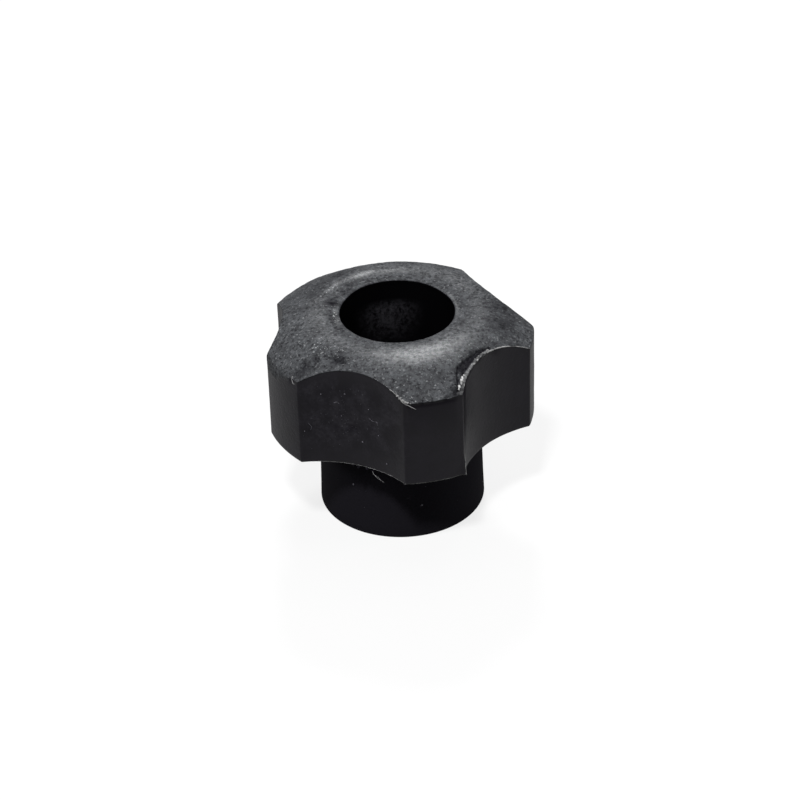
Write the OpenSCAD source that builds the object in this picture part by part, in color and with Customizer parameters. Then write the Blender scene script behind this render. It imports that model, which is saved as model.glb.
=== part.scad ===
// Five-lobed handle knob, moulded in one piece of black rubber.
// A star-shaped head with a domed top stands on a round hub, and one plain
// bore runs down the middle, from a shallow dish in the top to the hub's foot.
// The scallops between the lobes are cut a little unevenly.
// Origin: the bore's axis in the foot's plane. +Z runs up the bore.
// The middle of one lobe points along -Y.

/* [Head] */
// Radius over the lobes
head_r = 25; // [23:0.5:30]
// Radius at the middle of each scallop, where the head is narrowest, from the
// one at the right of the front lobe onwards. There are as many lobes.
waist_r = [20.5, 18.1, 20.8, 21.4, 20.1];
// Radius of the curve of each scallop
scallop_r = 20.8; // [14:0.2:28]
// Height of the upright wall at a lobe, from the head's underside
wall_h = 17; // [10:0.5:30]
// Rounding of the upright corners between a lobe and its scallops
corner_r = 0.5; // [0.2:0.1:1]
// Rounding of the lobes' top edge
brow_r = 0.6; // [0.2:0.1:1]
// Rounding of the lobes' bottom edge
skirt_r = 0.3; // [0.1:0.1:0.6]

/* [Dome] */
// Fall of the dome's outer cone, in degrees from level
dome_angle = 31; // [20:1:35]
// Radius of the ring where the dome is highest
crest_r = 14; // [13:0.5:15]
// Radius of the dome's section, from its cone over the crest to the bore's mouth
dome_curve_r = 12.8; // [6:0.2:12.8]

/* [Hub] */
// Height of the hub, from its foot to the underside of the head
hub_h = 18.7; // [8:0.1:40]
// Radius of the hub at its foot
foot_r = 15.5; // [14:0.1:16.5]
// Radius of the hub where it meets the head
neck_r = 15; // [14:0.1:16.5]
// Rounding of the foot's outer edge
foot_round_r = 0.3; // [0.1:0.1:1.5]
// Fillet between the hub and the underside of the head
neck_fillet_r = 0.8; // [0.2:0.1:1.5]

/* [Bore] */
// Radius of the bore
bore_r = 10.5; // [8:0.1:11.5]
// Rounding of the bore's mouth
mouth_r = 0.4; // [0.1:0.1:0.8]

/* [Hidden] */
rubber_colour = [0.13, 0.13, 0.135];
// Sides of the large circles, and of the small roundings
$fn = 96;
rounding_sides = 24;
// How far a cutting shape runs past what it cuts
past = 1;
// A rounding's circle stands this far past the faces that it blends, so that
// they cross at a small angle and don't only touch
proud = 0.002;

// Height of the lobes' top edge, before it is rounded
brow_z = hub_h + wall_h;
// The dome's cone ends where its curve takes over
cone_end_r = crest_r + dome_curve_r * sin(dome_angle);
cone_end_z = brow_z + (head_r - cone_end_r) * tan(dome_angle);
// Height of the crest, the knob's highest ring
crest_z = cone_end_z + dome_curve_r * (1 - cos(dome_angle)) + proud;
dome_centre = [crest_r, crest_z - dome_curve_r];
// Inside the crest the same curve falls to the bore's mouth, which a small
// circle rounds: it touches the curve and the bore's wall from inside
mouth_angle = asin((crest_r - bore_r - mouth_r) / (dome_curve_r - mouth_r));
mouth_centre = dome_centre + at(dome_curve_r - mouth_r, 90 + mouth_angle);
// Lean of the hub's side from upright
hub_lean = atan2(neck_r - foot_r, hub_h);

lobe_pitch = 360 / len(waist_r);
// A lobe's corner is rounded by a circle that touches head_r from inside and
// the scallop from outside. Its centre lies at this radius.
corner_centre_r = head_r - corner_r;
// Angle from the middle of a scallop to the centre of its corners' rounding,
// where the scallop's upright axis lies axis_r from the knob's
function corner_angle(axis_r) = acos((corner_centre_r ^ 2 + axis_r ^ 2 - (scallop_r + corner_r) ^ 2)
    / (2 * corner_centre_r * axis_r));

function at(radius, angle) = radius * [cos(angle), sin(angle)];

// What lies beyond a circle, between two directions from its centre. Taken off
// a solid it rounds a corner, and added to one it fills a corner in.
module beyond(centre, from_angle, to_angle, radius) {
    reach = 2 * radius;
    difference() {
        polygon([
            centre,
            centre + at(reach, from_angle),
            centre + at(reach, (from_angle + to_angle) / 2),
            centre + at(reach, to_angle)
        ]);
        translate(centre) circle(radius);
    }
}

// The same at a corner between two straight sides, for a circle that touches
// both. They leave the corner in the two directions given.
module beyond_sides(corner, from_angle, to_angle, radius) {
    half = (to_angle - from_angle) / 2;
    centre = corner + at(radius / sin(half), from_angle + half);
    beyond(centre, to_angle + 90, from_angle + 270, radius + proud, $fn = rounding_sides);
}

// Half section of the knob through the middle of a lobe
module knob_section() {
    top_z = crest_z + past;
    difference() {
        polygon([
            [bore_r, 0],
            [foot_r, 0],
            [neck_r, hub_h],
            [head_r, hub_h],
            [head_r, brow_z],
            [head_r - (top_z - brow_z) / tan(dome_angle), top_z],
            [bore_r, top_z]
        ]);
        beyond(dome_centre, 90 - dome_angle, 180, dome_curve_r);
        beyond(mouth_centre, 90 + mouth_angle, 180, mouth_r + proud, $fn = rounding_sides);
        beyond_sides([foot_r, 0], 90 - hub_lean, 180, foot_round_r);
        beyond_sides([head_r, hub_h], 90, 180, skirt_r);
        beyond_sides([head_r, brow_z], 180 - dome_angle, 270, brow_r);
    }
    beyond_sides([neck_r, hub_h], 270 - hub_lean, 360, neck_fillet_r);
}

// Plan of what is cut away between two lobes, with the scallop's axis on +X:
// the scallop, and what rounds the corner on each side of it
module scallop_plan(waist) {
    axis_r = waist + scallop_r;
    translate([axis_r, 0]) circle(scallop_r);
    for (side = [-1, 1]) {
        to_rim = side * corner_angle(axis_r);
        centre = at(corner_centre_r, to_rim);
        to_scallop = atan2(-centre.y, axis_r - centre.x);
        beyond(centre, to_rim, to_scallop, corner_r + proud, $fn = rounding_sides);
    }
}

module knob() {
    color(rubber_colour)
    difference() {
        rotate_extrude() knob_section();
        for (i = [0 : len(waist_r) - 1]) {
            rotate([0, 0, -90 + (i + 0.5) * lobe_pitch])
            translate([0, 0, hub_h - past])
            linear_extrude(crest_z - hub_h + 2 * past)
            scallop_plan(waist_r[i]);
        }
    }
}

knob();
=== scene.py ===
"""Looks of the five-lobed handle knob: its moulding, the flash and dust on it, and the stage.

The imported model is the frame. Lengths in the code are in millimetres until a mesh is made, and
angles round the bore are in degrees from the middle of the front lobe, which points along -Y,
turning towards +X.
"""

import math

import bpy
import numpy as np
from mathutils import Matrix, Vector, noise


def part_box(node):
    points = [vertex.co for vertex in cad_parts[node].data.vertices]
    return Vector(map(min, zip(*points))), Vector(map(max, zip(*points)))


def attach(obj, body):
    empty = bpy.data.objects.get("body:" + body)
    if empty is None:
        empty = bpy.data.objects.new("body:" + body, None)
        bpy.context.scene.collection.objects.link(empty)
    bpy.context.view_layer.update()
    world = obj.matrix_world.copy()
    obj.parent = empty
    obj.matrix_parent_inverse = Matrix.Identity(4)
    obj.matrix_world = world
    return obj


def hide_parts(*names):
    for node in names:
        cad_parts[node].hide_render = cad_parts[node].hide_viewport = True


bl_info = {
    "name": "Handle Knob",
    "version": (1, 0, 0),
    "blender": (4, 5, 0),
    "location": "View3D > Sidebar > Knob",
    "description": "Builds a five-lobed moulded handle knob round its packed solid",
    "category": "Add Mesh",
}

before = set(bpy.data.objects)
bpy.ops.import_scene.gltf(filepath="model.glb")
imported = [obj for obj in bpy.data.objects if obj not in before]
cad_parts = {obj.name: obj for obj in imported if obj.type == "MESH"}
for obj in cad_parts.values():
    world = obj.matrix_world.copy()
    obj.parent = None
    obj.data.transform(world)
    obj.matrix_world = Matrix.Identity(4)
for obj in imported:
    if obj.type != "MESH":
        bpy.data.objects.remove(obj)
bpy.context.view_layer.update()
KNOB_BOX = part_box("knob")
MM = 0.001
# Stands for a distance beyond the knob
FAR = 99.0

# Roundings: the bore's mouth and end, the head's top and bottom edges, under the head, the foot
MOUTH_ROUND = 0.4
BORE_END_ROUND = 0.3
BROW_ROUND = 0.2
SKIRT_ROUND = 0.25
FILLET = 0.8
FOOT_ROUND = 0.3
# Slope of the dome at its edge
EDGE_SLOPE = 33.0
# Radius of the dome's section over the crest
DOME_CURVE = 12.8
# The dome's outer cone: its rise inwards per millimetre, how it flattens, and where the curve turns into it
CONE_RISE = 0.657
CONE_FLATTENS = 0.0096
CURVE_TO_CONE = (18.5, 21.5)
# The dome's outer part leans: towards where, by how much at its edge there and to the right, over what width
LEAN_TOWARDS = -12.9
LEAN = (0.1925, -0.135)
LEAN_REACH = 11.0
# Rings of vertices on each stretch of the section
RINGS = {
    "mouth": 5, "dome": 46, "brow": 6, "wall": 22, "skirt": 3, "underside": 8,
    "fillet": 5, "hub": 8, "foot": 5, "base": 3, "bore_end": 3, "bore": 14,
}
# Steps between the columns of vertices: plain, along the torn edge, at upright corners, and where those lie
PLAIN_STEP = 0.75
TORN_STEP = 0.33
CORNER_STEP = 0.16
TORN_STRETCH = (4.0, 62.0)
CORNER_REACH = 0.9

# The scallops between the lobes: angle of the middle, and radius there. They are a little uneven.
SCALLOPS = ((-35.9, 20.12), (36.3, 20.48), (107.8, 18.07), (179.4, 20.75), (-107.5, 21.37))
# The lobes: angle of the middle, and radius over it
LOBES = ((0.6, 25.0), (69.3, 25.0), (146.7, 24.85), (-143.2, 24.7), (-73.4, 24.95))
# Upright corners that are rounded more than the rest: angle, reach in degrees, softness
SOFT_CORNERS = ((78.9, 6.0, 1.6), (136.6, 6.0, 1.6))
CORNER_SOFTNESS = 0.24
# Stretches of the top edge that roll over softly: angle, reach in degrees, radius
SOFT_BROWS = ((-77.0, 11.0, 1.7), (84.0, 9.0, 1.1), (143.0, 12.0, 1.0), (-143.0, 14.0, 0.9))
# Dents and small tears: angle, radius, width, depth
DENTS = (
    (-115.7, 17.8, 0.7, 0.22), (-106.5, 15.8, 0.5, 0.14), (-124.9, 16.7, 0.6, 0.16),
    (-90.4, 18.2, 0.6, 0.16), (-52.2, 18.6, 0.8, 0.22), (-46.0, 18.8, 0.9, 0.18), (-63.4, 24.8, 0.7, 0.35),
    (8.0, 24.7, 0.6, 0.30), (10.4, 24.0, 0.5, 0.28), (13.4, 24.3, 0.5, 0.25),
)
# The crack inside the right scallop's top edge, sunk in and darkened in colour as painted shade: angle and
# radius of its bends, width, depth
CRACK = (
    (11.4, 24.5), (12.6, 24.0), (14.2, 22.9), (15.4, 21.6), (17.7, 20.5), (21.2, 19.95), (27.3, 19.5),
    (32.1, 19.3), (36.6, 19.3), (39.9, 19.7), (42.0, 20.1),
)
CRACK_WIDTH = 0.26
CRACK_DEPTH = 0.4
# A short crack on the dome over the front left scallop, also darkened in colour as painted shade
SHORT_CRACK = ((-53.5, 18.3), (-50.0, 18.75), (-46.5, 18.85), (-43.5, 18.6))
# Height of the head's underside, and the way that flash and skin hang from it
HEAD_BOTTOM = 18.7
DOWN = np.array((0.0, 0.0, -1.0))
# The ridge of flash down the front lobe's right corner: angle, width in degrees
RIDGE = (13.7, 0.9)
# How far the ridge fills the scallop beside it, and over how many degrees
RIDGE_FILL = (0.3, 2.4)
# Dust that spills over the left lobe's top edge: where it starts, where it is deepest, and how deep
SPILL = (-64.0, -80.0, 2.5)
# The bore's mouth is worn wider at the back: angle, reach in degrees, how much
WORN_MOUTH = (174.0, 46.0, 0.5)
# The crest is rubbed all round, and its colour is lightened there as a painted highlight: radius, reach
# across, strength
RUBBED_AND_HIGHLIGHT_RING = (15.0, 1.9, 0.13)
# Places on the dome that are rubbed shiny, and lightened in colour as a painted highlight: angle, radius,
# reach round, reach across, strength
RUBBED_AND_HIGHLIGHT = (
    (4.0, 15.3, 8.0, 2.2, 1.0), (-168.0, 14.7, 3.4, 0.9, 0.8), (-17.0, 14.5, 4.0, 1.2, 0.5),
    (172.0, 14.4, 6.0, 1.0, 0.4), (-95.0, 14.2, 4.0, 1.0, 0.2), (-100.0, 11.4, 4.0, 0.5, 0.3),
    (92.0, 11.0, 4.0, 0.3, 0.35), (30.0, 13.0, 5.0, 1.4, 0.15), (-146.0, 14.9, 5.0, 0.8, 0.35),
)
# Places on the dome that are darker: grime, and painted shade on the dish round the bore and on the dome's
# right side: angle, radius, reach, strength
GRIME_AND_SHADE = (
    (-120.0, 12.4, 1.6, 0.9), (-128.0, 16.8, 2.2, 0.5), (-108.0, 16.6, 1.6, 0.4), (-49.0, 18.3, 1.5, 0.9),
    (-100.0, 11.8, 1.2, 0.6), (-140.0, 12.0, 1.2, 0.5), (6.0, 24.9, 0.7, 0.8), (-4.0, 25.0, 0.6, 0.7),
    (0.0, 24.9, 0.5, 0.6), (-62.0, 22.8, 1.9, 0.8), (30.0, 19.6, 1.5, 0.7), (15.0, 20.7, 1.0, 0.4),
    (45.0, 20.6, 1.3, 0.6), (82.0, 18.5, 3.6, 0.6), (66.0, 19.5, 3.4, 0.6), (92.0, 14.0, 2.2, 0.35),
    (-60.0, 20.2, 1.2, 0.5), (-155.0, 17.2, 2.4, 0.6), (14.0, 24.2, 0.9, 0.8), (-72.0, 12.0, 1.3, 0.4),
    (-150.0, 12.6, 1.3, 0.4), (-138.0, 17.6, 2.2, 0.5), (10.5, 24.3, 1.0, 0.9), (-94.0, 12.2, 1.0, 0.5),
    (-115.0, 13.2, 1.0, 0.4),
)
# Torn pale chips beside the crack: angle, radius, size
CHIPS = (
    (16.0, 22.9, 0.46), (16.9, 22.5, 0.34), (15.2, 23.3, 0.3), (13.6, 23.7, 0.4), (12.9, 24.1, 0.26),
    (18.2, 22.2, 0.2),
)
# Torn tails over the front lobe's left corner and at the left lobe's: half width, then angle, radius, height
TAILS = (
    (0.34, (
        (-17.5, 22.5, 37.5), (-15.0, 23.3, 37.1), (-13.0, 24.1, 36.6), (-11.8, 24.8, 36.1),
        (-9.6, 25.0, 35.6), (-8.0, 25.0, 35.1), (-6.4, 24.98, 34.6),
    )),
    (0.17, (
        (-64.4, 24.4, 36.2), (-64.0, 24.7, 35.6), (-62.5, 24.85, 35.2), (-60.6, 24.75, 35.2),
        (-59.8, 24.5, 35.8),
    )),
)
# Curls that hang from the flash under the front left scallop: angle, radius, height
CURLS = (
    ((-28.0, 20.6, 18.2), (-27.0, 20.8, 17.6), (-25.5, 20.9, 17.1), (-23.8, 21.0, 16.8), (-21.8, 21.2, 16.3)),
    ((-27.5, 20.9, 17.9), (-25.6, 21.2, 17.6), (-24.2, 21.1, 17.2), (-24.6, 20.9, 16.9)),
)
# Lumps in the ragged skin there: angle, how far they hang down, size
SKIRT_LUMPS = ((-35.5, 0.25, 0.3), (-31.0, 0.3, 0.34), (-27.5, 0.4, 0.4), (-24.5, 0.3, 0.3))
# Lumps along the torn tail over the front lobe's left corner: angle, radius, size
TAIL_LUMPS = (
    (-15.2, 23.1, 0.22), (-14.0, 23.5, 0.3), (-12.9, 23.9, 0.38), (-11.8, 24.35, 0.42), (-10.9, 24.65, 0.4),
    (-9.8, 24.75, 0.3), (-8.7, 24.85, 0.22),
)
# Swarms of fine pale flakes on the dome; those on the crest at the front and back left also stand as painted
# glints of its highlight: angle, reach round, radius, reach across, how many
FLAKES = (
    (-60.0, 15.0, 17.4, 1.7, 54), (-165.0, 9.0, 14.8, 0.5, 16), (-100.0, 14.0, 11.6, 0.5, 20),
    (3.0, 12.0, 15.3, 1.3, 34), (-20.0, 12.0, 22.0, 1.6, 12), (-140.0, 14.0, 14.9, 0.6, 26),
)
# Light specks on the dome: angle, radius, size
SPECKS = (
    (-64.8, 19.3, 0.28), (-60.1, 18.5, 0.24), (-50.2, 16.4, 0.2), (-66.5, 18.4, 0.2), (-6.5, 24.65, 0.26),
    (-7.9, 23.9, 0.24), (-14.5, 23.2, 0.24), (0.1, 21.5, 0.18), (3.5, 22.4, 0.2), (65.5, 14.35, 0.2),
    (169.5, 14.6, 0.2), (106.3, 14.9, 0.2), (-84.9, 19.2, 0.22), (-52.5, 17.7, 0.22), (-99.0, 17.2, 0.2),
)
# Dust on the upright walls and the hub: angle, height, size
WALL_SPECKS = (
    (-52.7, 33.4, 0.13), (-41.8, 33.8, 0.16), (-33.0, 24.1, 0.15), (-58.7, 25.5, 0.12), (-44.0, 29.0, 0.1),
    (-29.0, 31.5, 0.1), (-24.0, 26.5, 0.1), (-49.4, 10.2, 0.2), (0.0, 6.9, 0.2), (-20.0, 21.0, 0.12),
)
# Fine dust in the front left scallop and on the hub: how many grains, then angle and height, there as middle
# and spread and here as lowest and highest
SCALLOP_DUST = (120, (-42.0, 9.0), (29.0, 3.5))
HUB_DUST = (30, (-70.0, 60.0), (3.0, 17.0))
FINE_DUST_SIZE = (0.02, 0.05)
# The patch of painted light on the bore's far wall, where light falls into it: angle, height, reach
BORE_LIGHT_PATCH = (177.0, 33.8, 7.5)
# A faint smear of dust across the front left scallop: angles and heights that it runs through
SMEAR = ((-57.5, 25.4), (-50.0, 25.8), (-43.0, 26.2), (-34.0, 26.9), (-26.0, 27.4))
# Loose fibres on the walls: the angles and heights that each runs through
FIBRES = (
    ((-29.1, 29.7), (-27.0, 29.2), (-24.7, 29.35), (-24.2, 28.6)),
    ((-57.5, 27.2), (-56.6, 26.4), (-56.9, 25.6)),
    ((-47.5, 31.6), (-46.0, 31.9), (-44.8, 31.5)),
)
# How little of the walls' dust and gloss the hub keeps: 1 is none, as in the bore
HUB_DARKNESS = 0.94
# How strongly each effect colours the rubber
SHARES = {
    "mottle": 0.45, "specks": 0.36, "pits": 0.42, "rubbed": 0.45, "torn": 0.7, "grime": 0.85, "loose": 0.085,
}
# The rubber's coat: its roughness, then its weight on walls, dome and rubbed places (by grain), and at least
COAT_ROUGHNESS = 0.29
WALL_COAT = 0.29
DOME_COAT = 0.08
RUBBED_COAT = (0.4, 1.7)
LEAST_COAT = 0.004

# Strength of the world's light on the knob; straight from the camera it is 1
WORLD_LIGHT = 0.12
# Lamps: place and side in metres, power in watts
LAMPS = {
    "back": ((0.126, 0.552, 0.566), 0.15, 5.3),
    "overhead": ((0.1, 0.1, 0.8), 0.5, 1.4),
    "left": ((-0.67, -0.06, 0.42), 0.15, 1.8),
    "right": ((0.79, -0.1, 0.08), 0.35, 3.1),
    "front_left": ((-0.172, -0.387, 0.678), 0.08, 6.9),
}
LAMP_AIM = (0.0, 0.0, 0.025)
# The floor: half its side and how far it lies below the foot, in metres, its grey where it throws light back
# and where it is seen, and how much of it glows
FLOOR_REACH = 3.0
FLOOR_DROP = 0.00002
FLOOR_THROWING = 0.09
FLOOR_SEEN = 0.6
FLOOR_GLOW = 0.8
# The camera: azimuth, elevation and roll in degrees, distance from what it circles, heights of that and of
# what it looks at, and its lens in millimetres
CAMERA_ANGLES = (12.89, 33.125, 1.774)
CAMERA_DISTANCE = 0.521
ORBIT_HEIGHT = 0.022
AIM_HEIGHT = 0.02047
CAMERA_LENS = 125.88


def length_property(name, description, value):
    return bpy.props.FloatProperty(name=name, description=description, default=value, unit="LENGTH")


class KnobSizes(bpy.types.PropertyGroup):
    head_radius: length_property("Head radius", "Radius over the lobes", 0.025)
    scallop_radius: length_property("Scallop radius", "Radius of the curve of each scallop", 0.0209)
    bore_radius: length_property("Bore radius", "Radius of the bore", 0.0105)
    hub_height: length_property("Hub height", "From the foot to the underside of the head", 0.0187)
    foot_radius: length_property("Foot radius", "Radius of the hub at its foot", 0.0155)
    neck_radius: length_property("Neck radius", "Radius of the hub below the head", 0.0150)
    brow_height: length_property("Brow height", "Height of the lobes' top edge", 0.0357)
    crest_height: length_property("Crest height", "Height of the dome's highest ring", 0.04012)
    crest_radius: length_property("Crest radius", "Radius of the dome's highest ring", 0.0140)
    dish_depth: length_property("Dish depth", "Depth of the dish at the bore's mouth", 0.0003)


def colour_property(name, description, value):
    return bpy.props.FloatVectorProperty(
        name=name, description=description, default=value, subtype="COLOR", size=3, min=0.0, max=1.0)


class KnobColours(bpy.types.PropertyGroup):
    dome_dark: colour_property("Dome, dark", "Darker rubber of the gritty dome", (0.021, 0.0215, 0.0235))
    dome_light: colour_property("Dome, light", "Paler rubber of the gritty dome", (0.074, 0.0775, 0.083))
    speck: colour_property("Grit", "Pale grains in the dome", (0.22, 0.228, 0.235))
    wall: colour_property("Wall", "Rubber of the upright walls", (0.0036, 0.003, 0.005))
    # Inside the bore this colour is darkened, as painted shade
    hub: colour_property("Hub", "Rubber of the hub and the bore", (0.0094, 0.0088, 0.0113))
    torn: colour_property("Torn edge", "Flash and torn rubber", (0.22, 0.22, 0.22))
    # This colour also paints the patch of painted light in the bore
    lint: colour_property("Lint", "Dust and loose fibres on the walls", (0.125, 0.122, 0.14))
    dust: colour_property("Dust", "Pale chips and grains on the dome", (0.42, 0.42, 0.42))


def sizes():
    return bpy.context.scene.knob_sizes


def shade(name, factor=1.0):
    """One of the knob's colours, made lighter or darker."""
    return tuple(factor * channel for channel in getattr(bpy.context.scene.knob_colours, name))


def smooth_min(a, b, softness):
    overlap = np.maximum(softness - np.abs(a - b), 0.0) / softness
    return np.minimum(a, b) - overlap * overlap * softness / 4


def smooth_step(low, high, value):
    t = np.clip((value - low) / (high - low), 0.0, 1.0)
    return t * t * (3 - 2 * t)


def turn_from(angle, middle):
    """Signed degrees from middle to angle, the short way round."""
    return (angle - middle + 180.0) % 360.0 - 180.0


def outline(angle):
    """Radius of the head's plan in millimetres at each angle."""
    cut_r = sizes().scallop_radius / MM
    radius = np.full(angle.shape, LOBES[0][1])
    for middle, lobe_r in LOBES:
        near = smooth_step(36.0, 30.0, np.abs(turn_from(angle, middle)))
        radius = radius + near * (lobe_r - radius)
    softness = np.full(angle.shape, CORNER_SOFTNESS)
    for middle, reach, soft in SOFT_CORNERS:
        softness += (soft - CORNER_SOFTNESS) * np.exp(-(turn_from(angle, middle) / reach) ** 2)
    fill = RIDGE_FILL[0] * np.exp(-(turn_from(angle, RIDGE[0]) / RIDGE_FILL[1]) ** 2)
    for middle, waist in SCALLOPS:
        turn = np.radians(turn_from(angle, middle))
        axis_r = waist + cut_r
        along = axis_r * np.cos(turn)
        inside = along ** 2 - (axis_r ** 2 - cut_r ** 2)
        hit = (inside > 0) & (np.cos(turn) > 0)
        cut = np.where(hit, along - np.sqrt(np.maximum(inside, 0.0)), FAR) + fill
        radius = smooth_min(radius, cut, softness)
    return radius


def rim_radius(angle):
    """Radius of the head's plan in millimetres at one angle."""
    return outline(np.array([float(angle)]))[0]


def dome_height(radius, angle):
    """Height of the domed top in millimetres."""
    s = sizes()
    crest_r = s.crest_radius / MM
    crest_z = s.crest_height / MM
    brow_z = s.brow_height / MM
    out = s.head_radius / MM - radius
    cone = brow_z + CONE_RISE * out - CONE_FLATTENS * out ** 2
    fall = DOME_CURVE ** 2 - (radius - crest_r) ** 2
    curve = crest_z - DOME_CURVE + np.sqrt(np.maximum(fall, 0.0))
    dish = crest_z - s.dish_depth / MM * ((crest_r - radius) / (crest_r - s.bore_radius / MM)) ** 2
    top = np.where(radius < crest_r, dish, curve)
    to_cone = smooth_step(*CURVE_TO_CONE, radius)
    outer = np.clip((radius - crest_r) / LEAN_REACH, 0.0, 1.0)
    turn = np.radians(angle - LEAN_TOWARDS)
    return top + to_cone * (cone - top) + outer * (LEAN[0] * np.cos(turn) + LEAN[1] * np.sin(turn))


def worn_mouth(angle):
    """How much wider than the bore its mouth is worn, in millimetres."""
    middle, reach, depth = WORN_MOUTH
    return depth * np.exp(-(turn_from(angle, middle) / reach) ** 4)


def column_angles():
    """Angles of the mesh's columns, closest at the upright corners and along the torn edge."""
    angles = []
    corners = []
    fine = np.linspace(-180.0, 180.0, 7201)
    radius = outline(fine)
    bend = np.abs(np.gradient(np.gradient(radius)))
    for i in range(2, len(fine) - 2):
        if bend[i] > 0.0004 and bend[i] == bend[i - 2:i + 3].max():
            if not corners or fine[i] - corners[-1] > 4.0:
                corners.append(fine[i])
    angle = -180.0
    while angle < 179.9:
        angles.append(angle)
        step = PLAIN_STEP
        if TORN_STRETCH[0] < angle < TORN_STRETCH[1]:
            step = TORN_STEP
        if any(abs(turn_from(angle, corner)) < CORNER_REACH for corner in corners):
            step = CORNER_STEP
        angle += step
    return np.array(angles)


def spread(count, ease=0.0):
    """Evenly spaced values from 0 up to but not including 1, drawn towards both ends by ease."""
    t = np.arange(count) / count
    return t - ease * np.sin(2 * math.pi * t) / (2 * math.pi)


def moulding_grid():
    """Radius and height of every vertex, one row per ring, in order round the section."""
    s = sizes()
    angle = column_angles()
    rim = outline(angle)
    edge_z = dome_height(rim, angle)
    bore = s.bore_radius / MM
    hub_z = s.hub_height / MM
    foot = s.foot_radius / MM
    neck = s.neck_radius / MM
    quarter = math.pi / 2
    slope = np.radians(EDGE_SLOPE)
    brow = np.full(angle.shape, BROW_ROUND)
    for middle, reach, radius in SOFT_BROWS:
        brow += (radius - BROW_ROUND) * np.exp(-(turn_from(angle, middle) / reach) ** 4)
    tuck = brow * np.tan((quarter - slope) / 2)
    brow_start = rim - tuck * np.cos(slope)
    ones = np.ones(angle.shape)
    worn = worn_mouth(angle)
    lip = bore + worn + MOUTH_ROUND
    rows = []
    marks = []

    def add(radius, height, dome=0.0):
        rows.append((radius * ones, height * ones))
        marks.append(dome * ones)

    def add_arc(rings, centre_r, centre_z, size, start, turn):
        for t in spread(rings):
            a = start + turn * t
            add(centre_r + size * math.cos(a), centre_z + size * math.sin(a))

    mouth_z = dome_height(lip, angle) - MOUTH_ROUND
    for t in spread(RINGS["mouth"]):
        a = math.pi * (1 - t / 2)
        add(lip + MOUTH_ROUND * math.cos(a), mouth_z + MOUTH_ROUND * math.sin(a), 0.3 + 0.7 * t)
    for t in spread(RINGS["dome"], 0.35):
        radius = lip + (brow_start - lip) * t
        add(radius, dome_height(radius, angle), 1.0)
    start_z = dome_height(brow_start, angle)
    for t in spread(RINGS["brow"]):
        a = (quarter - slope) * (1 - t)
        height = edge_z - tuck + brow * np.sin(a)
        lift = (start_z - (edge_z - tuck + brow * np.sin(quarter - slope))) * (1 - t)
        add(rim - brow + brow * np.cos(a), height + lift, 1.0 - t)
    for t in spread(RINGS["wall"], 0.3):
        add(rim, edge_z - tuck + (hub_z + SKIRT_ROUND - edge_z + tuck) * t)
    add_arc(RINGS["skirt"], rim - SKIRT_ROUND, hub_z + SKIRT_ROUND, SKIRT_ROUND, 0.0, -quarter)
    for t in spread(RINGS["underside"]):
        add(rim - SKIRT_ROUND + (neck + FILLET - rim + SKIRT_ROUND) * t, hub_z)
    add_arc(RINGS["fillet"], neck + FILLET, hub_z - FILLET, FILLET, quarter, quarter)
    for t in spread(RINGS["hub"]):
        height = (hub_z - FILLET) + (FOOT_ROUND - hub_z + FILLET) * t
        add(foot + (neck - foot) * height / hub_z, height)
    add_arc(RINGS["foot"], foot - FOOT_ROUND, FOOT_ROUND, FOOT_ROUND, 0.0, -quarter)
    for t in spread(RINGS["base"]):
        add(foot - FOOT_ROUND + (bore + BORE_END_ROUND - foot + FOOT_ROUND) * t, 0.0)
    add_arc(RINGS["bore_end"], bore + BORE_END_ROUND, BORE_END_ROUND, BORE_END_ROUND, -quarter, -quarter)
    for t in spread(RINGS["bore"]):
        rise = 1 - (1 - t) ** 1.6
        add(bore + worn * smooth_step(0.8, 1.0, rise), BORE_END_ROUND + (mouth_z - BORE_END_ROUND) * rise)
    radius, height = np.array(rows).transpose(1, 0, 2)
    return angle, radius, height, np.array(marks)


def to_points(angle, radius, height):
    turn = np.radians(angle)
    return np.stack([radius * np.sin(turn), -radius * np.cos(turn), height * np.ones(turn.shape)], -1)


def grid_normals(points):
    along = np.roll(points, -1, axis=1) - np.roll(points, 1, axis=1)
    across = np.roll(points, -1, axis=0) - np.roll(points, 1, axis=0)
    normal = np.cross(across, along)
    return normal / np.maximum(np.linalg.norm(normal, axis=2, keepdims=True), 1e-9)


def rough(points, size, seed):
    """Smooth noise from -1 to 1 with features of about size millimetres, at each point."""
    flat = points.reshape(-1, 3) / size + seed
    return np.array([noise.noise(Vector(p)) for p in flat]).reshape(points.shape[:-1])


def dark_places(angle, radius, height):
    """The hub, which keeps little of the walls' dust and gloss, and the inside of the bore, whose colour is
    darkened as painted shade.
    """
    s = sizes()
    inside = (radius < s.bore_radius / MM + worn_mouth(angle) + 0.1) & (height > 0.5)
    below = HUB_DARKNESS * smooth_step(s.hub_height / MM + 0.1, s.hub_height / MM - 0.1, height)
    return np.where(inside, 1.0, below)


def bore_light_places(points):
    """A lighter patch on the far wall of the bore: painted light where light falls into it."""
    angle, height, reach = BORE_LIGHT_PATCH
    bore = sizes().bore_radius / MM
    centre = to_points(np.array(angle), bore, height)
    away = np.linalg.norm((points - centre) * (1.0, 1.0, 0.9), axis=2)
    in_bore = np.hypot(points[..., 0], points[..., 1]) < bore + 0.2
    return smooth_step(reach, 1.0, away) * (points[..., 1] > 5.0) * in_bore


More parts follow.
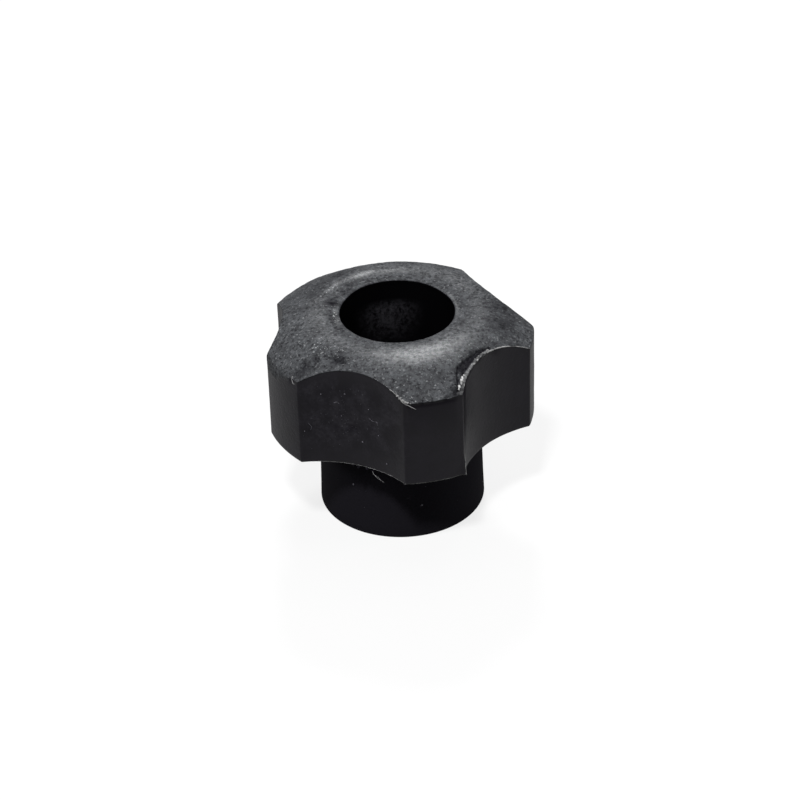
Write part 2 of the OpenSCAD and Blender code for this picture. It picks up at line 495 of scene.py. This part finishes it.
def rubbed_and_highlight_places(angle, radius):
    """The crest is rubbed smooth all round, and most at a few places. The material also lightens the colour
    there: a painted highlight.
    """
    ring, across_reach, strength = RUBBED_AND_HIGHLIGHT_RING
    rubbed = strength * np.exp(-((radius - ring) / across_reach) ** 2)
    for middle, at_radius, round_reach, across_reach, strength in RUBBED_AND_HIGHLIGHT:
        along = np.radians(turn_from(angle, middle)) * at_radius / round_reach
        across = (radius - at_radius) / across_reach
        rubbed = np.maximum(rubbed, strength * np.exp(-along ** 2 - across ** 2))
    return rubbed


def grime_and_shade_places(points):
    """Smears of grime and of painted shade on the dome, broken up by noise."""
    grime = np.zeros(points.shape[:-1])
    for at_angle, at_radius, reach, strength in GRIME_AND_SHADE:
        centre = on_dome(at_angle, at_radius)
        away = np.linalg.norm(points - centre, axis=2)
        grime = np.maximum(grime, strength * np.exp(-(away / reach) ** 2))
    return np.clip(grime * (1.0 + 0.5 * rough(points, 0.9, 41.0)), 0.0, 1.0)


def dusty_walls(angle, height, points):
    """Dust on the walls: most in the front left scallop, below its middle."""
    scallop = smooth_step(30.0, 20.0, np.abs(turn_from(angle, -36.0)))
    dust = 0.1 + 0.9 * scallop * smooth_step(19.0, 26.0, height) * smooth_step(38.5, 34.0, height)
    smear = away_from_line(points, [on_wall(*bend) for bend in SMEAR])
    return dust + 1.4 * np.exp(-(smear / 0.3) ** 2)


def spilled_dust(angle, height):
    """Dust of the dome that lies over the left lobe's top edge."""
    start, deepest, depth = SPILL
    turn = turn_from(angle, 0.0)
    reach = depth * smooth_step(-start, -deepest, -turn) * smooth_step(-97.0, -86.0, turn)
    edge_z = dome_height(outline(angle), angle) - 0.2
    over = smooth_step(edge_z - reach - 0.5, edge_z - reach + 0.5, height)
    return np.where(reach > 0.05, over, 0.0) * (height > 30.0)


def torn_band(angle, radius):
    """The lifted, torn skin at the right scallop's edge, and the crevice between it and the crack, which is
    also darkened in colour as painted shade.
    """
    bends = np.array(CRACK)
    turn = turn_from(angle, 0.0)
    inner = np.interp(turn, bends[:, 0], bends[:, 1])
    ends = smooth_step(11.0, 12.5, turn) * smooth_step(42.0, 37.0, turn)
    inside = outline(angle) - radius
    broad = 0.5 + 0.35 * smooth_step(26.0, 16.0, turn)
    torn = ends * smooth_step(broad + 0.1, broad - 0.1, inside)
    crevice = ends * smooth_step(inner, inner + 0.2, radius) * (1.0 - torn)
    crevice *= 0.35 + 0.65 * smooth_step(15.5, 19.0, turn)
    return torn, crevice


def under_edge(angle, height):
    """Painted shade right below the front lobe's top edge, along a line, and a broader painted shade over the
    top of the wall below it.
    """
    turn = turn_from(angle, 0.0)
    edge_z = dome_height(outline(angle), angle)
    ends = smooth_step(-11.5, -9.0, turn) * smooth_step(12.5, 9.0, turn)
    line = ends * np.exp(-((edge_z - 0.5 - height) / 0.3) ** 2)
    return line, 0.3 * ends * smooth_step(edge_z - 9.0, edge_z - 1.0, height)


def on_dome(angle, radius):
    """The point of the domed top at an angle and a radius."""
    angle = np.array(float(angle))
    radius = np.array(float(radius))
    return to_points(angle, radius, dome_height(radius, angle))


def away_from_line(points, bends):
    """Distance of every point to a bent line."""
    nearest = np.full(points.shape[:-1], FAR)
    for start, end in zip(bends, bends[1:]):
        along = end - start
        share = np.clip(((points - start) @ along) / (along @ along), 0.0, 1.0)
        nearest = np.minimum(nearest, np.linalg.norm(points - start - share[..., None] * along, axis=-1))
    return nearest


def moulding_points():
    """Places of the moulding's vertices, row by row, and the masks that its material uses."""
    angle, radius, height, dome = moulding_grid()
    points = to_points(angle, radius, height)
    normal = grid_normals(points)
    dome = np.maximum(dome, spilled_dust(angle, height))
    torn, crevice = (part * dome for part in torn_band(angle, radius))
    move = rough(points, 1.6, 3.0) * (0.012 + 0.06 * dome)
    move += rough(points, 0.8, 11.0) * (0.005 + 0.045 * dome)
    move += rough(points, 6.0, 23.0) * 0.03
    move += torn * (0.12 + 0.22 * rough(points, 0.9, 31.0)) - 0.22 * crevice
    # Painted shade under the front lobe's top edge; the line is also sunk in a little
    undercut, shaded = (part * (radius > 20.0) * (1.0 - dome) for part in under_edge(angle, height))
    move -= 0.14 * undercut
    for at_angle, at_radius, width, depth in DENTS:
        away = np.linalg.norm(points - on_dome(at_angle, at_radius), axis=2)
        move -= depth * np.exp(-(away / width) ** 2)
    # The cracks are sunk in, and the material darkens their colour as painted shade
    long_crack, short_crack = (away_from_line(points, [on_dome(*bend) for bend in line])
                               for line in (CRACK, SHORT_CRACK))
    crack = np.exp(-(np.minimum(long_crack, 1.3 * short_crack) / CRACK_WIDTH) ** 2)
    move -= CRACK_DEPTH * crack
    hub_z = sizes().hub_height / MM
    flare = smooth_step(23.0, hub_z + 0.5, height)
    on_side = (height > hub_z + 0.1) & (height < 36.6)
    ridge = np.exp(-(turn_from(angle, RIDGE[0]) / RIDGE[1]) ** 2) * on_side
    move += ridge * (0.04 + 0.3 * flare + 0.08 * rough(points, 1.2, 7.0))
    move *= smooth_step(0.0, 1.0, height)
    points = points + normal * move[..., None]
    masks = {
        "dome": dome,
        "dark": dark_places(angle, radius, height),
        "scuff": bore_light_places(points),
        "rubbed": rubbed_and_highlight_places(angle, radius) * dome,
        # Grime, together with painted shade on the dome, in the cracks, in the crevice and under the front
        # lobe's edge
        "grime": np.maximum.reduce((grime_and_shade_places(points), crack, crevice, undercut, shaded)),
        "torn": torn,
        "dusty": dusty_walls(angle, height, points) * (1.0 - dome),
    }
    return inside_box(points), masks


def moulding_mesh():
    points, masks = moulding_points()
    rows, columns = points.shape[:2]
    index = np.arange(rows * columns).reshape(rows, columns)
    next_row = np.roll(index, -1, axis=0)
    next_column = np.roll(index, -1, axis=1)
    next_both = np.roll(next_row, -1, axis=1)
    faces = np.stack([index, next_row, next_both, next_column], -1).reshape(-1, 4)
    mesh = bpy.data.meshes.new("knob_moulding")
    mesh.from_pydata((points.reshape(-1, 3) * MM).tolist(), [], faces.tolist())
    for name, values in masks.items():
        mesh.attributes.new(name, "FLOAT", "POINT").data.foreach_set("value", values.reshape(-1))
    return mesh


def inside_box(points):
    """The points, in millimetres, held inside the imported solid's box."""
    return np.clip(points, *(np.array(corner) / MM for corner in KNOB_BOX))


def add_object(name, data):
    made = bpy.data.objects.new(name, data)
    bpy.context.collection.objects.link(made)
    return made


def add_piece(name, mesh, material):
    mesh.shade_smooth()
    mesh.update()
    mesh.materials.append(material)
    piece = add_object(name, mesh)
    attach(piece, "root")
    return piece


class Shell:
    """Gathers small closed shapes, in millimetres, that become one mesh."""

    def __init__(self):
        self.points = []
        self.faces = []

    def strip(self, path, across, thickness=0.05):
        """A thin ribbon along path. across gives its half width, with direction, at each point."""
        path = np.array(path, float)
        across = np.array(across, float)
        along = np.gradient(path, axis=0)
        out = np.cross(along, across)
        out *= thickness / 2 / np.maximum(np.linalg.norm(out, axis=1, keepdims=True), 1e-9)
        start = len(self.points)
        for here, side, face in zip(path, across, out):
            self.points += [here - side, here - face, here + side, here + face]
        for i in range(len(path) - 1):
            a = start + 4 * i
            for k in range(4):
                self.faces.append((a + k, a + (k + 1) % 4, a + 4 + (k + 1) % 4, a + 4 + k))
        end = start + 4 * (len(path) - 1)
        self.faces.append((start + 3, start + 2, start + 1, start))
        self.faces.append((end, end + 1, end + 2, end + 3))

    def grain(self, centre, size, seed, stretch=(1.0, 1.0, 1.0)):
        """A small uneven lump: a seven-sided ball pushed about by noise."""
        start = len(self.points)
        rows = 4
        columns = 7
        ring = []
        for row in range(rows):
            fall = math.pi * (row + 0.5) / rows
            for column in range(columns):
                turn = 2 * math.pi * column / columns
                level = math.sin(fall)
                way = Vector((level * math.cos(turn), level * math.sin(turn), math.cos(fall)))
                reach = size * (1.0 + 0.45 * noise.noise(way * 1.7 + Vector((seed, 0.0, 0.0))))
                ring.append(np.array(centre) + reach * np.array(way) * np.array(stretch))
        self.points += ring
        for row in range(rows - 1):
            for column in range(columns):
                a = start + row * columns + column
                b = start + row * columns + (column + 1) % columns
                self.faces.append((a, a + columns, b + columns, b))
        self.faces.append(tuple(start + k for k in range(columns)))
        last = start + (rows - 1) * columns
        self.faces.append(tuple(last + k for k in reversed(range(columns))))

    def piece(self, name, material):
        mesh = bpy.data.meshes.new(name)
        mesh.from_pydata((inside_box(self.points) * MM).tolist(), [], self.faces)
        add_piece(name, mesh, material)


def outward(angle):
    """Level direction that the head's side faces at an angle."""
    step = 0.05
    before = to_points(angle - step, outline(angle - step), 0.0)
    after = to_points(angle + step, outline(angle + step), 0.0)
    along = after - before
    side = np.stack([along[..., 1], -along[..., 0], along[..., 2]], -1)
    return side / np.linalg.norm(side, axis=-1, keepdims=True)


def taper(count, power=0.4):
    """Full in the middle and thin at both ends."""
    t = np.linspace(0.0, 1.0, count)
    return 0.08 + 0.92 * np.sin(math.pi * np.clip(t, 0.001, 0.999)) ** power


def waver(count, seed, depth=0.5):
    """Uneven factor round 1 along a torn edge."""
    return np.array([1.0 + depth * noise.noise(Vector((0.35 * i, seed, 0.5))) for i in range(count)])


class KNOB_OT_moulding(bpy.types.Operator):
    """Builds the knob's moulding in place of its plain solid"""
    bl_idname = "knob.moulding"
    bl_label = "Build moulding"

    def execute(self, context):
        piece = add_piece("knob_moulding", moulding_mesh(), rubber_material())
        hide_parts("knob")
        return {"FINISHED"}


def top_edge_flash(shell):
    """Flash along the top edge of the right scallop, thick and broken at its start."""
    count = 150
    angle = np.linspace(14.5, 60.0, count)
    radius = outline(angle)
    height = dome_height(radius, angle)
    path = to_points(angle, radius - 0.05, height + 0.04)
    thick = smooth_step(44.0, 34.0, angle)
    width = (0.13 + 0.12 * thick) * taper(count, 0.3) * waver(count, 2.0, 0.7)
    way = outward(angle) * (-0.8 + 0.5 * thick)[:, None] + np.array((0.0, 0.0, 0.6))
    shell.strip(path, way * width[:, None], 0.08)
    chance = np.random.default_rng(3)
    for seed in range(46):
        turn = chance.uniform(14.0, 41.0)
        inside = chance.uniform(0.05, 0.55)
        place = on_dome(turn, rim_radius(turn) - inside)
        shell.grain(place, chance.uniform(0.07, 0.2), seed, (1.2, 0.8, 0.6))


def bottom_edge_flash(shell):
    """Flash under the front lobe and up its right corner."""
    count = 90
    angle = np.linspace(-12.2, 13.4, count)
    path = to_points(angle, 24.86, HEAD_BOTTOM)
    width = 0.11 * taper(count, 0.25) * waver(count, 5.0)
    shell.strip(path, (DOWN + 0.2 * outward(angle)) * width[:, None])
    count = 24
    rise = np.linspace(HEAD_BOTTOM - 0.1, 22.8, count)
    corner = np.full(count, RIDGE[0] + 0.5)
    width = 0.16 * np.linspace(1.0, 0.15, count) * waver(count, 8.0)
    path = to_points(corner, 25.2 - 0.08 * (rise - rise[0]), rise)
    shell.strip(path, to_points(corner + 40.0, width, 0.0))


def left_scallop_flash(shell):
    """Faint flash under the front left scallop, with torn curls that hang from it."""
    count = 120
    angle = np.linspace(-57.0, -12.5, count)
    path = to_points(angle, outline(angle) - 0.12, HEAD_BOTTOM - 0.02)
    width = 0.045 * taper(count) * waver(count, 11.0, 0.9)
    shell.strip(path, DOWN * width[:, None])
    for bends in CURLS:
        path = smooth_path([to_points(np.array(a), r, z) for a, r, z in bends], 6)
        width = 0.11 * taper(len(path)) * waver(len(path), 14.0)
        shell.strip(path, np.array((0.2, -0.5, 0.8)) * width[:, None])


def ragged_skirt(shell):
    """The ragged dark skin that hangs under the front left scallop's bottom edge."""
    count = 90
    angle = np.linspace(-47.0, -14.0, count)
    ragged = np.array([max(0.0, noise.noise(Vector((0.16 * i, 3.0, 0.0)))) for i in range(count)])
    width = (0.05 + 1.5 * ragged) * taper(count, 0.5)
    path = to_points(angle, outline(angle) - 0.3, HEAD_BOTTOM - 0.05 - width)
    shell.strip(path, (DOWN - 0.3 * outward(angle)) * width[:, None], 0.12)
    for seed, (turn, drop, size) in enumerate(SKIRT_LUMPS):
        shell.grain(to_points(np.array(turn), 20.2, HEAD_BOTTOM - drop), size, 4.1 * seed, (1.3, 0.8, 0.8))


def torn_tails(shell):
    """The torn tail over the front lobe's left corner, and the flake at the left lobe's corner."""
    for broad, bends in TAILS:
        path = smooth_path([to_points(np.array(a), r, z) for a, r, z in bends], 6)
        width = broad * taper(len(path)) * waver(len(path), 17.0, 0.8)
        shell.strip(path, np.array((-0.35, -0.3, 0.6)) * width[:, None], 0.16)
    for seed, (angle, radius, size) in enumerate(TAIL_LUMPS):
        shell.grain(on_dome(angle, radius) + (0.0, 0.0, -0.05), size, 5.3 * seed, (0.9, 0.8, 0.6))


def smooth_path(points, steps):
    """Catmull-Rom curve through the points."""
    points = np.array(points)
    points = np.vstack([2 * points[0] - points[1], points, 2 * points[-1] - points[-2]])
    path = []
    for i in range(1, len(points) - 2):
        before, start, end, after = points[i - 1:i + 3]
        for t in np.arange(steps) / steps:
            square = (2 * before - 5 * start + 4 * end - after) * t ** 2
            cube = (3 * start - before - 3 * end + after) * t ** 3
            path.append(0.5 * (2 * start + (end - before) * t + square + cube))
    path.append(points[-2])
    return np.array(path)


class KNOB_OT_flash(bpy.types.Operator):
    """Builds the thin flash along the head's edges, and the ragged skin"""
    bl_idname = "knob.flash"
    bl_label = "Build flash"

    def execute(self, context):
        shell = Shell()
        top_edge_flash(shell)
        bottom_edge_flash(shell)
        left_scallop_flash(shell)
        torn_tails(shell)
        shell.piece("flash", plain_material("torn_rubber", "torn", 0.5))
        shell = Shell()
        ragged_skirt(shell)
        shell.piece("skirt", plain_material("ragged_rubber", "wall", 0.12))
        return {"FINISHED"}


class KNOB_OT_chips(bpy.types.Operator):
    """Builds the torn pale chips beside the crack, and the pale specks and flakes on the dome, some of them
    painted glints along the crest
    """
    bl_idname = "knob.chips"
    bl_label = "Build chips"

    def execute(self, context):
        shell = Shell()
        for seed, (angle, radius, size) in enumerate(CHIPS):
            shell.grain(on_dome(angle, radius) + (0.0, 0.0, 0.2), size, 3.1 * seed, (0.7, 1.1, 0.8))
        shell.piece("chips", plain_material("pale_chips", "dust", 0.6))
        shell = Shell()
        for seed, (angle, radius, size) in enumerate(SPECKS):
            stretch = (1.1 + 0.4 * math.sin(seed), 0.8, 0.5)
            shell.grain(on_dome(angle, radius), 0.75 * size, 7.7 * seed, stretch)
        chance = np.random.default_rng(5)
        # Pale flakes of grit; along the crest's highlight they are also painted glints
        for middle, round_reach, radius, across_reach, count in FLAKES:
            for seed in range(count):
                angle = chance.normal(middle, 0.6 * round_reach)
                from_bore = min(chance.normal(radius, 0.6 * across_reach), rim_radius(angle) - 0.15)
                stretch = (chance.uniform(0.7, 1.8), chance.uniform(0.6, 1.4), 0.5)
                shell.grain(on_dome(angle, from_bore), chance.uniform(0.05, 0.13), 2.3 * seed, stretch)
        shell.piece("grains", plain_material("pale_grains", "speck", 1.0))
        return {"FINISHED"}


def on_wall(angle, height):
    """The point of the head's side or of the hub at an angle and a height."""
    s = sizes()
    angle = np.array(float(angle))
    hub_z = s.hub_height / MM
    if height > hub_z:
        radius = rim_radius(angle)
    else:
        radius = (s.foot_radius + (s.neck_radius - s.foot_radius) * height / hub_z) / MM
    return to_points(angle, radius, height)


class KNOB_OT_dust(bpy.types.Operator):
    """Builds the dust specks and loose fibres on the walls and the hub"""
    bl_idname = "knob.dust"
    bl_label = "Build dust"

    def execute(self, context):
        shell = Shell()
        for seed, (angle, height, size) in enumerate(WALL_SPECKS):
            shell.grain(on_wall(angle, height), size, 1.9 * seed)
        chance = np.random.default_rng(7)
        count, angles, heights = SCALLOP_DUST
        for seed in range(count):
            place = on_wall(chance.normal(*angles), min(chance.normal(*heights), 35.0))
            shell.grain(place, chance.uniform(*FINE_DUST_SIZE), seed)
        count, angles, heights = HUB_DUST
        for seed in range(count):
            place = on_wall(chance.uniform(*angles), chance.uniform(*heights))
            shell.grain(place, chance.uniform(*FINE_DUST_SIZE), seed)
        for bends in FIBRES:
            path = smooth_path([on_wall(*bend) for bend in bends], 5)
            side = np.array((0.5, -0.5, 0.7)) * 0.05 * taper(len(path))[:, None]
            shell.strip(path, side, 0.07)
        shell.piece("dust", plain_material("wall_dust", "lint", 0.25))
        return {"FINISHED"}


def node(tree, kind, **settings):
    made = tree.nodes.new(kind)
    for name, value in settings.items():
        if name in made.inputs:
            made.inputs[name].default_value = value
        else:
            setattr(made, name, value)
    return made


def noise_texture(tree, vector, size, detail, roughness):
    """Noise with features of about size millimetres, centred on 0.5."""
    texture = node(tree, "ShaderNodeTexNoise", Scale=1000.0 / size, Detail=detail, Roughness=roughness)
    tree.links.new(vector, texture.inputs["Vector"])
    return texture.outputs["Fac"]


def window(tree, value, low, high, to_low=0.0, to_high=1.0):
    """Maps value from low..high to to_low..to_high, smoothly and clamped."""
    limits = {"From Min": low, "From Max": high, "To Min": to_low, "To Max": to_high}
    ramp = node(tree, "ShaderNodeMapRange", interpolation_type="SMOOTHSTEP", **limits)
    tree.links.new(value, ramp.inputs["Value"])
    return ramp.outputs["Result"]


def arithmetic(tree, operation, first, second):
    made = node(tree, "ShaderNodeMath", operation=operation)
    for slot, value in enumerate((first, second)):
        if isinstance(value, (int, float)):
            made.inputs[slot].default_value = value
        else:
            tree.links.new(value, made.inputs[slot])
    return made.outputs[0]


def times(tree, first, second):
    return arithmetic(tree, "MULTIPLY", first, second)


def blend_colour(tree, factor, first, second):
    mix = node(tree, "ShaderNodeMix", data_type="RGBA")
    colour_sockets = [i for i in mix.inputs if i.type == "RGBA"]
    tree.links.new(factor, mix.inputs["Factor"])
    for socket, value in zip(colour_sockets, (first, second)):
        if isinstance(value, tuple):
            socket.default_value = (*value, 1.0)
        else:
            tree.links.new(value, socket)
    return [o for o in mix.outputs if o.type == "RGBA"][0]


def mask(tree, name):
    return node(tree, "ShaderNodeAttribute", attribute_name=name).outputs["Fac"]


def grit_group():
    """Moulded grit: uneven grain, pale specks, dark pits, slow mottling and a height for bump."""
    group = bpy.data.node_groups.new("moulded_grit", "ShaderNodeTree")
    for name in ("Grain", "Specks", "Pits", "Mottle", "Height"):
        group.interface.new_socket(name, in_out="OUTPUT", socket_type="NodeSocketFloat")
    group.interface.new_socket("Vector", in_out="INPUT", socket_type="NodeSocketVector")
    vector = node(group, "NodeGroupInput").outputs["Vector"]
    fine = noise_texture(group, vector, 0.6, 4.0, 0.7)
    coarse = noise_texture(group, vector, 1.8, 2.0, 0.5)
    both = arithmetic(group, "ADD", times(group, fine, 0.7), times(group, coarse, 0.3))
    pits = window(group, noise_texture(group, vector, 0.6, 2.0, 0.6), 0.42, 0.3)
    results = {
        "Grain": window(group, both, 0.34, 0.66),
        "Specks": window(group, noise_texture(group, vector, 0.5, 1.0, 0.5), 0.6, 0.74),
        "Pits": pits,
        "Mottle": window(group, noise_texture(group, vector, 4.0, 4.0, 0.65), 0.36, 0.64),
        "Height": arithmetic(group, "SUBTRACT", both, times(group, pits, 0.15)),
    }
    outside = node(group, "NodeGroupOutput")
    for name, value in results.items():
        group.links.new(value, outside.inputs[name])
    return group


def grit_node(tree):
    """The grit group, fed with the place on the object."""
    group = bpy.data.node_groups.get("moulded_grit") or grit_group()
    grit = node(tree, "ShaderNodeGroup", node_tree=group)
    coordinates = node(tree, "ShaderNodeTexCoord")
    tree.links.new(coordinates.outputs["Object"], grit.inputs["Vector"])
    return grit


def coated_rubber(name, roughness):
    """A new material without gloss but its coat's, with its nodes and its shader."""
    material = bpy.data.materials.new(name)
    material.use_nodes = True
    tree = material.node_tree
    shader = tree.nodes["Principled BSDF"]
    shader.inputs["Specular IOR Level"].default_value = 0.0
    shader.inputs["Coat Roughness"].default_value = roughness
    return material, tree, shader


def rubber_material():
    """Black rubber: dusty grit on the dome, plain walls, and a hub and bore that stay darker."""
    material, tree, shader = coated_rubber("moulded_rubber", COAT_ROUGHNESS)
    grit = grit_node(tree)
    dome, dark, dusty, rubbed = (mask(tree, name) for name in ("dome", "dark", "dusty", "rubbed"))
    mottle = grit.outputs["Mottle"]
    grain = grit.outputs["Grain"]

    def share(name, value):
        return times(tree, value, SHARES[name])

    wall = blend_colour(tree, mottle, shade("wall", 0.85), shade("wall", 1.15))
    loose = times(tree, dusty, times(tree, grain, mottle))
    wall = blend_colour(tree, share("loose", loose), wall, shade("lint"))
    top = blend_colour(tree, grain, shade("dome_dark"), shade("dome_light"))
    top = blend_colour(tree, share("mottle", mottle), top, shade("dome_dark", 1.2))
    top = blend_colour(tree, share("specks", grit.outputs["Specks"]), top, shade("speck"))
    top = blend_colour(tree, share("pits", grit.outputs["Pits"]), top, shade("wall"))
    # Rubbed places are lightened towards the grit's pale colour: a painted highlight
    top = blend_colour(tree, share("rubbed", rubbed), top, shade("speck", 0.9))
    torn = times(tree, mask(tree, "torn"), grain)
    top = blend_colour(tree, share("torn", torn), top, shade("torn", 0.8))
    colour = blend_colour(tree, dome, wall, top)
    # Darkens towards the walls' colour: grime, and painted shade in the cracks, the crevice, under the front
    # lobe's edge and on parts of the dome
    grime = share("grime", mask(tree, "grime"))
    colour = blend_colour(tree, grime, colour, shade("wall", 0.8))
    # Inside the bore the hub's colour is darkened far down: painted shade in the recess
    in_bore = window(tree, dark, HUB_DARKNESS + 0.02, 1.0)
    colour = blend_colour(tree, dark, colour, blend_colour(tree, in_bore, shade("hub"), shade("hub", 0.13)))
    # Painted light: a patch of the bore's far wall is lightened with the lint colour
    patch = times(tree, mask(tree, "scuff"), grain)
    colour = blend_colour(tree, patch, colour, shade("lint", 0.19))
    tree.links.new(colour, shader.inputs["Base Color"])
    coat = times(tree, rubbed, window(tree, grain, 0.0, 1.0, *RUBBED_COAT))
    coat = arithmetic(tree, "ADD", coat, window(tree, dome, 0.0, 1.0, WALL_COAT, DOME_COAT))
    dull = arithmetic(tree, "MAXIMUM", dark, grime)
    dull = arithmetic(tree, "MAXIMUM", dull, times(tree, dusty, 0.28))
    coat = times(tree, coat, arithmetic(tree, "SUBTRACT", 1.0, dull))
    tree.links.new(arithmetic(tree, "ADD", coat, LEAST_COAT), shader.inputs["Coat Weight"])
    bump = node(tree, "ShaderNodeBump", Strength=1.0, Distance=0.0005)
    rise = arithmetic(tree, "ADD", times(tree, dome, 0.85), 0.15)
    tree.links.new(times(tree, grit.outputs["Height"], rise), bump.inputs["Height"])
    tree.links.new(bump.outputs["Normal"], shader.inputs["Normal"])
    tree.links.new(bump.outputs["Normal"], shader.inputs["Coat Normal"])
    return material


def plain_material(name, colour_name, gloss):
    """Rubber or dust of one colour, varied by the grit."""
    material, tree, shader = coated_rubber(name, 0.3)
    shader.inputs["Coat Weight"].default_value = 0.4 * gloss
    mottle = window(tree, grit_node(tree).outputs["Height"], 0.35, 0.7)
    colour = blend_colour(tree, mottle, shade(colour_name, 0.45), shade(colour_name, 1.3))
    tree.links.new(colour, shader.inputs["Base Color"])
    return material


def seen_directly(tree):
    """1 for rays that come straight from the camera, from a gloss or through glass, else 0."""
    path = node(tree, "ShaderNodeLightPath")
    rays = arithmetic(tree, "MAXIMUM", path.outputs["Is Camera Ray"], path.outputs["Is Glossy Ray"])
    return arithmetic(tree, "MAXIMUM", rays, path.outputs["Is Transmission Ray"])


def area_lamp(name, place, side, power):
    data = bpy.data.lights.new(name, "AREA")
    data.shape = "SQUARE"
    data.size = side
    data.energy = power
    lamp = add_object(name, data)
    lamp.location = place
    lamp.rotation_euler = (Vector(LAMP_AIM) - Vector(place)).to_track_quat("-Z", "Y").to_euler()


def photograph_camera():
    data = bpy.data.cameras.new("camera")
    data.lens = CAMERA_LENS
    camera = add_object("camera", data)
    azimuth, elevation, roll = (math.radians(angle) for angle in CAMERA_ANGLES)
    level = math.cos(elevation)
    back = Vector((-math.sin(azimuth) * level, -math.cos(azimuth) * level, math.sin(elevation)))
    eye = Vector((0.0, 0.0, ORBIT_HEIGHT)) + CAMERA_DISTANCE * back
    forward = (Vector((0.0, 0.0, AIM_HEIGHT)) - eye).normalized()
    right = forward.cross(Vector((0, 0, 1))).normalized()
    up = right.cross(forward)
    turned_right = math.cos(roll) * right - math.sin(roll) * up
    turned_up = math.sin(roll) * right + math.cos(roll) * up
    pose = Matrix((turned_right, turned_up, -forward)).transposed().to_4x4()
    pose.translation = eye
    camera.matrix_world = pose
    bpy.context.scene.camera = camera


def floor_material():
    """White where it is seen, with the knob's shadow, and dark to the light that it throws back."""
    material = bpy.data.materials.new("pale_floor")
    material.use_nodes = True
    tree = material.node_tree
    tree.nodes.remove(tree.nodes["Principled BSDF"])
    seen = seen_directly(tree)
    diffuse = node(tree, "ShaderNodeBsdfDiffuse")
    tree.links.new(window(tree, seen, 0.0, 1.0, FLOOR_THROWING, FLOOR_SEEN), diffuse.inputs["Color"])
    glow = node(tree, "ShaderNodeEmission", Strength=1.0)
    mix = node(tree, "ShaderNodeMixShader")
    tree.links.new(times(tree, seen, FLOOR_GLOW), mix.inputs["Fac"])
    tree.links.new(diffuse.outputs[0], mix.inputs[1])
    tree.links.new(glow.outputs[0], mix.inputs[2])
    tree.links.new(mix.outputs[0], tree.nodes["Material Output"].inputs["Surface"])
    return material


def make_floor():
    mesh = bpy.data.meshes.new("floor")
    corners = [(x * FLOOR_REACH, y * FLOOR_REACH, 0) for x, y in ((-1, -1), (1, -1), (1, 1), (-1, 1))]
    mesh.from_pydata(corners, [], [(0, 1, 2, 3)])
    mesh.materials.append(floor_material())
    floor = add_object("floor", mesh)
    floor.location.z = -FLOOR_DROP


def light_world(scene):
    world = scene.world or bpy.data.worlds.new("world")
    scene.world = world
    world.use_nodes = True
    tree = world.node_tree
    background = tree.nodes["Background"]
    background.inputs["Color"].default_value = (1, 1, 1, 1)
    strength = window(tree, seen_directly(tree), 0.0, 1.0, WORLD_LIGHT, 1.0)
    tree.links.new(strength, background.inputs["Strength"])


class KNOB_OT_stage(bpy.types.Operator):
    """Makes the floor, the lamps, the world and the camera"""
    bl_idname = "knob.stage"
    bl_label = "Build stage"

    def execute(self, context):
        context.scene.view_settings.view_transform = "Standard"
        photograph_camera()
        make_floor()
        light_world(context.scene)
        for name, (place, side, power) in LAMPS.items():
            area_lamp(name, place, side, power)
        return {"FINISHED"}


class KNOB_PT_panel(bpy.types.Panel):
    bl_idname = "KNOB_PT_panel"
    bl_label = "Handle knob"
    bl_space_type = "VIEW_3D"
    bl_region_type = "UI"
    bl_category = "Knob"

    def draw(self, context):
        for operator in OPERATORS:
            self.layout.operator(operator.bl_idname)


OPERATORS = (KNOB_OT_moulding, KNOB_OT_flash, KNOB_OT_chips, KNOB_OT_dust, KNOB_OT_stage)
CLASSES = (KnobSizes, KnobColours, *OPERATORS, KNOB_PT_panel)


def register():
    for cls in CLASSES:
        bpy.utils.register_class(cls)
    bpy.types.Scene.knob_sizes = bpy.props.PointerProperty(type=KnobSizes)
    bpy.types.Scene.knob_colours = bpy.props.PointerProperty(type=KnobColours)


def unregister():
    del bpy.types.Scene.knob_colours
    del bpy.types.Scene.knob_sizes
    for cls in reversed(CLASSES):
        bpy.utils.unregister_class(cls)


def main():
    register()
    bpy.ops.knob.moulding()
    bpy.ops.knob.flash()
    bpy.ops.knob.chips()
    bpy.ops.knob.dust()
    bpy.ops.knob.stage()


if __name__ == "__main__":
    main()
